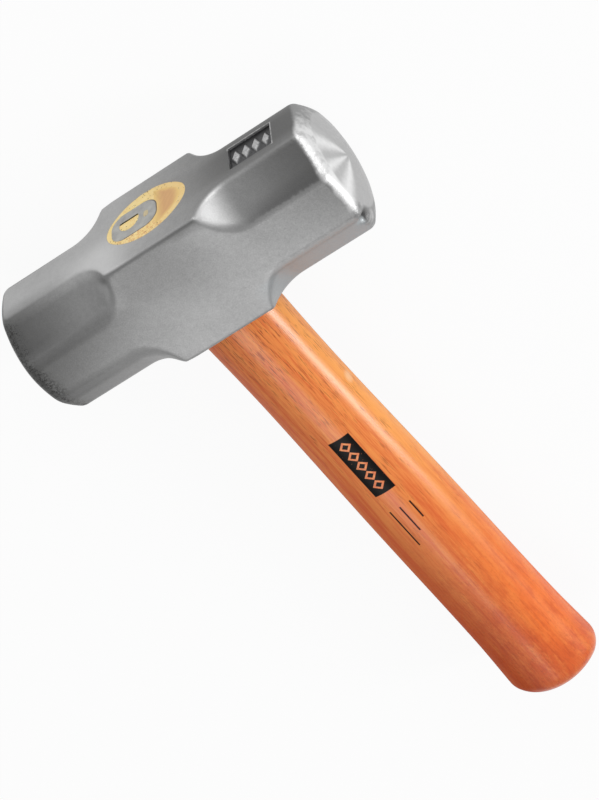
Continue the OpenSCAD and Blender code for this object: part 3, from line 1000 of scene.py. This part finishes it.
@dataclass
class Handle:
    """The oval wooden handle, from the tenon in the eye to the rounded butt."""

    top_y: float
    butt_y: float
    axis_z: float
    head_half_h: float
    mark: PrintedMark
    tenon_half: float = 16.5
    waist_half: float = 16.65
    waist_y: float = -7.3
    eye_half: float = 17.9
    shoulder_half: float = 18.0
    neck_half: float = 17.6
    neck_y: float = -72.0
    palm_half: float = 18.85
    heel_half: float = 19.65
    flare: float = 28.5
    butt_half: float = 20.8
    butt_round: float = 9.0
    dome_r: float = 106.0
    pool: float = 1.5
    pool_rim: float = 1.2
    bare_x: float = 4.0
    bare_sunk: float = 0.02
    bare_inset: float = 1 / 15
    lap: float = 0.15
    wedge_gap: float = 0.05
    grip_steps: int = 30
    butt_steps: int = 20
    dome_shares: Fades = (0.1, 0.3, 0.5, 0.7, 0.85, 0.97)

    @property
    def round_in(self) -> float:
        """Half length of the oval on which the butt's round is centred."""
        return self.butt_half - self.butt_round

    @property
    def side_y(self) -> float:
        """Height at which the butt's round begins."""
        drop = math.sqrt((self.dome_r - self.butt_round) ** 2 - self.round_in ** 2)
        return self.butt_y + self.dome_r - drop

    def build(self, oval: Oval) -> Piece:
        """Makes the handle on that oval, with its tenon up to where the resin covers it."""
        top = self.top_y - self.pool
        share = (top - self.waist_y) / (self.top_y - self.waist_y)
        at_top = self.waist_half + (self.tenon_half - self.waist_half) * share
        outline = [*self._grip()[::-1], (self.waist_half, self.waist_y), (at_top, top)]
        rings = self._butt_rings(oval) + [oval.ring(a, y) for a, y in outline]
        handle = loft("grip_and_tenon", np.array(rings))
        cut(handle, [WedgePocket(self.top_y, self.axis_z).build()])
        tidy_mesh(handle, SHARP)
        return handle

    def dress(self, handle: Piece) -> None:
        """Gives the handle its varnish, and bare end grain at the top of the tenon."""
        give(handle, VarnishedWood().material(self), EndGrain().material(self))
        for face in handle.data.polygons:
            at_top = face.center[1] / MM > self.top_y - self.pool - 0.1
            face.material_index = 1 if at_top else 0

    def build_end_grain(self, oval: Oval) -> Piece:
        """Makes the island of end grain that the resin leaves bare."""
        ring = oval.ring(self.tenon_half - self.pool_rim + self.lap, 0.0)
        ring[:, 0] = np.maximum(ring[:, 0], self.bare_x - self.lap)
        middle = np.array([(self.bare_x + self.tenon_half) / 2, 0.0, self.axis_z])
        rings = np.array([ring, ring, ring + (middle - ring) * self.bare_inset])
        top = self.top_y - self.bare_sunk
        rings[:, :, 1] = np.array([[top - self.pool - self.bare_sunk], [top], [top]])
        island = loft("end_grain", rings)
        cut(island, [WedgePocket(self.top_y, self.axis_z, self.wedge_gap).build()])
        tidy_mesh(island, SHARP)
        give(island, EndGrain().material(self))
        return island

    def _grip(self) -> list[tuple[float, float]]:
        """Returns the grip's outline from the shoulder down to the butt's round."""
        heel_y = self.side_y + self.flare
        y = np.array([-self.head_half_h, self.neck_y, (heel_y + self.neck_y) / 2, heel_y, self.side_y])
        a = np.array([self.shoulder_half, self.neck_half, self.palm_half, self.heel_half, self.butt_half])
        before, after = [0, 0, 1, 2, 3], [1, 2, 3, 4, 4]
        slope = (a[after] - a[before]) / (y[after] - y[before])
        t = np.arange(self.grip_steps)[:, None] / self.grip_steps
        span = np.diff(y)
        half = a[:-1] + np.diff(a) * eased(t)
        half += span * (slope[:-1] * t * (1 - t) ** 2 - slope[1:] * t * t * (1 - t))
        return list(zip(half.T.ravel(), (y[:-1] + span * t).T.ravel()))

    def _butt_rings(self, oval: Oval) -> list[Array]:
        """Returns the rings of the butt, from its middle up to its side."""
        tip_turn = math.asin(self.round_in / (self.dome_r - self.butt_round))
        edge = self.round_in + self.butt_round * math.sin(tip_turn)
        middle = np.array([0.0, 0.0, self.axis_z])
        rings = []
        for share in self.dome_shares:
            ring = middle + (oval.ring(edge, 0.0) - middle) * share
            ring[:, 1] = self.butt_y + self.dome_r - math.sqrt(self.dome_r ** 2 - (edge * share) ** 2)
            rings.append(ring)
        for turn in np.linspace(math.pi / 2 - tip_turn, 0.0, self.butt_steps):
            a = self.round_in + self.butt_round * math.cos(turn)
            rings.append(oval.ring(a, self.side_y - self.butt_round * math.sin(turn)))
        return rings


@dataclass
class WedgePocket:
    """The space that the wedge takes up in the tenon."""

    top_y: float
    axis_z: float
    gap: float = 0.0
    centre_x: float = -5.3
    length: float = 20.6
    width: float = 15.6
    tip_width: float = 4.0
    corner: float = 6.2
    depth: float = 30.0
    levels: int = 9
    side_points: int = 33

    def build(self) -> Piece:
        """Makes the pocket's shape, from its tip up past the eye face."""
        rings = []
        for share in np.linspace(0, 1, self.levels):
            half_w = (self.tip_width + (self.width - self.tip_width) * share) / 2 + self.gap
            rings.append(self._ring(half_w, self.top_y - self.depth * (1 - share)))
        rings.append(self._ring(self.width / 2 + self.gap, self.top_y + PAST))
        return loft("wedge_pocket", np.array(rings))

    def _ring(self, half_w: float, y: float) -> Array:
        """Returns the rounded plate's outline, cut off at a half width."""
        z = np.sin(np.linspace(-math.pi / 2, math.pi / 2, self.side_points)) * half_w
        inner = self.width / 2 - self.corner
        over = np.maximum(np.abs(z) - inner, 0)
        reach = self.length / 2 - self.corner + np.sqrt(np.maximum(self.corner ** 2 - over ** 2, 0))
        right, left = (np.stack([self.centre_x + side * (reach + self.gap), np.full_like(z, y),
                                 z + self.axis_z], 1) for side in (1, -1))
        return np.vstack([right, left[::-1]])


@dataclass(frozen=True)
class Lamp:
    """A soft square lamp that faces the hammer; place and size in metres, power in watts."""

    name: str
    place: Point
    size: float
    power: float
    target: Point = (0.0, -0.08, 0.02)

    def hang(self) -> None:
        """Hangs the lamp in the scene."""
        data = bpy.data.lights.new(self.name, "AREA")
        data.shape = "SQUARE"
        data.size = self.size
        data.energy = self.power
        lamp = add_object(self.name, data)
        lamp.location = self.place
        aim = Vector(self.target) - Vector(self.place)
        lamp.rotation_euler = aim.to_track_quat("-Z", "Y").to_euler()


@dataclass(frozen=True)
class Studio:
    """The plain stage: floor, lamps, world and camera; places and sizes in metres."""

    floor_half: float = 4.0
    floor_grey: float = 0.8
    floor_seen: float = 0.93
    floor_mirrored: float = 0.75
    room_light: float = 0.5
    camera_place: Point = (0.34377, 0.52817, 0.93859)
    camera_right: Point = (0.81381, -0.5766, 0.07244)
    camera_back: Point = (0.30269, 0.52699, 0.79414)
    lens: float = 135.13
    sensor: float = 36.0
    clip: tuple[float, float] = (0.05, 30.0)
    lamps: tuple[Lamp, ...] = (
        Lamp("lamp_right", (1.0, -0.60, 0.53), 0.24, 4.4),
        Lamp("lamp_cheek", (-0.216, -0.45, 0.697), 0.35, 0.8, (0.02, -0.015, 0.045)),
        Lamp("lamp_back", (0.96, 0.62, 0.60), 0.60, 2.4),
        Lamp("lamp_low", (0.40, 1.30, 0.28), 0.70, 6.5, (0.0, 0.0, 0.02)),
        Lamp("lamp_edge", (1.11, 0.31, 0.22), 0.25, 1.2, (0.07, 0.0, 0.02)),
    )

    def build(self) -> None:
        """Sets up everything round the hammer."""
        self._camera()
        self._floor()
        self._world()
        for lamp in self.lamps:
            lamp.hang()
        bpy.context.scene.view_settings.view_transform = "Standard"

    def _camera(self) -> None:
        """Places the camera where the photograph was taken from."""
        data = bpy.data.cameras.new("camera")
        data.lens = self.lens
        data.sensor_width = self.sensor
        data.clip_start, data.clip_end = self.clip
        camera = add_object("camera", data)
        back, right = Vector(self.camera_back).normalized(), Vector(self.camera_right)
        right = (right - back * right.dot(back)).normalized()
        axes = Matrix((right, back.cross(right), back)).transposed()
        camera.matrix_world = Matrix.Translation(Vector(self.camera_place)) @ axes.to_4x4()
        bpy.context.scene.camera = camera

    def _floor(self) -> None:
        """Lays a pale floor that keeps the hammer's shadow."""
        h = self.floor_half / MM
        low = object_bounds()[0][2] / MM
        corners = np.array([(-h, -h, low), (h, -h, low), (h, h, low), (-h, h, low)])
        floor = add_piece("floor", corners, [(0, 1, 2, 3)])
        give(floor, self._floor_material())
        floor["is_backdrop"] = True

    def _floor_material(self) -> Material:
        """Builds a near-white floor that reads as the white backdrop to the camera."""
        f = Finishing("pale_floor")
        path = f.node("LightPath", {}, {}).outputs
        seen = Signal(f, path["Is Camera Ray"]) * self.floor_seen
        seen = seen | Signal(f, path["Is Glossy Ray"]) * self.floor_mirrored
        matt = f.node("BsdfDiffuse", {}, {"Color": (self.floor_grey,) * 3})
        white = f.node("Emission", {}, {"Color": WHITE, "Strength": 1.0})
        blend = f.node("MixShader", {}, {0: seen, 1: matt.outputs[0], 2: white.outputs[0]})
        f.node("OutputMaterial", {}, {"Surface": blend.outputs[0]})
        return f.material

    def _world(self) -> None:
        """Fills the room with even light, and shows white to the camera."""
        world = bpy.data.worlds.new("room")
        f = Finishing(world)
        seen = f.node("LightPath", {}, {}).outputs["Is Camera Ray"]
        dim, white = (f.node("Background", {}, {"Color": WHITE, "Strength": strength}).outputs[0]
                      for strength in (self.room_light, 1.0))
        blend = f.node("MixShader", {}, {0: seen, 1: dim, 2: white})
        f.node("OutputWorld", {}, {"Surface": blend.outputs[0]})
        bpy.context.scene.world = world


def place_piece(piece: Piece, slot: Slot, *nodes: str) -> None:
    """Puts a piece on the hammer's body, logs its slot and hides the nodes it stands for."""
    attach(piece, "root")
    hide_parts(*nodes)
    LOG.info("%s: %d faces, %s", piece.name, len(piece.data.polygons), slot.value)


def dress_node(node: str, name: Slot, material: Material) -> None:
    """Gives a CAD node, whose slot is name, a finish."""
    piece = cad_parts[node]
    if not piece.data.materials:
        piece.data.materials.append(material)
    for slot in piece.material_slots:
        slot.link = "OBJECT"
        slot.material = material
    LOG.info("%s: %d faces, %s", node, len(piece.data.polygons), name.value)


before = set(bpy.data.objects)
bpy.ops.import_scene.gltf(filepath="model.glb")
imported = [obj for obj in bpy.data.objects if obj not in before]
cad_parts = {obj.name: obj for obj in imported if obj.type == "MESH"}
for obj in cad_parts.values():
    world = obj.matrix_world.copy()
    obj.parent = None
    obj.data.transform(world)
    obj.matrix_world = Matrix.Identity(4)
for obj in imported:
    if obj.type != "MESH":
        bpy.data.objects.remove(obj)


def main() -> None:
    """Builds and dresses each piece of the hammer in order."""
    logging.basicConfig(level=logging.INFO, format="%(name)s: %(message)s")
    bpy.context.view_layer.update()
    Studio().build()
    low, high = (tuple(c / MM for c in corner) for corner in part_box("hammer_head"))
    butt_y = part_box("handle")[0][1] / MM
    half = [(b - a) / 2 for a, b in zip(low, high)]
    axis_z = (low[2] + high[2]) / 2
    oval = Oval(axis_z)
    head = HammerHead(half[0], half[1], half[2], axis_z)
    head_piece = head.build(oval)
    head.dress(head_piece)
    place_piece(head_piece, Slot.FORGED_STEEL, "hammer_head")
    handle = Handle(high[1], butt_y, axis_z, half[1], PrintedMark())
    handle_piece = handle.build(oval)
    handle.dress(handle_piece)
    place_piece(handle_piece, Slot.VARNISHED_WOOD, "handle")
    island = handle.build_end_grain(oval)
    place_piece(island, Slot.VARNISHED_WOOD, "handle")
    dress_node("steel_wedge", Slot.WEDGE_STEEL, WedgeSteel().material(WedgePocket(high[1], axis_z)))
    dress_node("eye_resin", Slot.AMBER_RESIN, AmberResin().material(handle))
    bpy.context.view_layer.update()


if __name__ == "__main__":
    main()
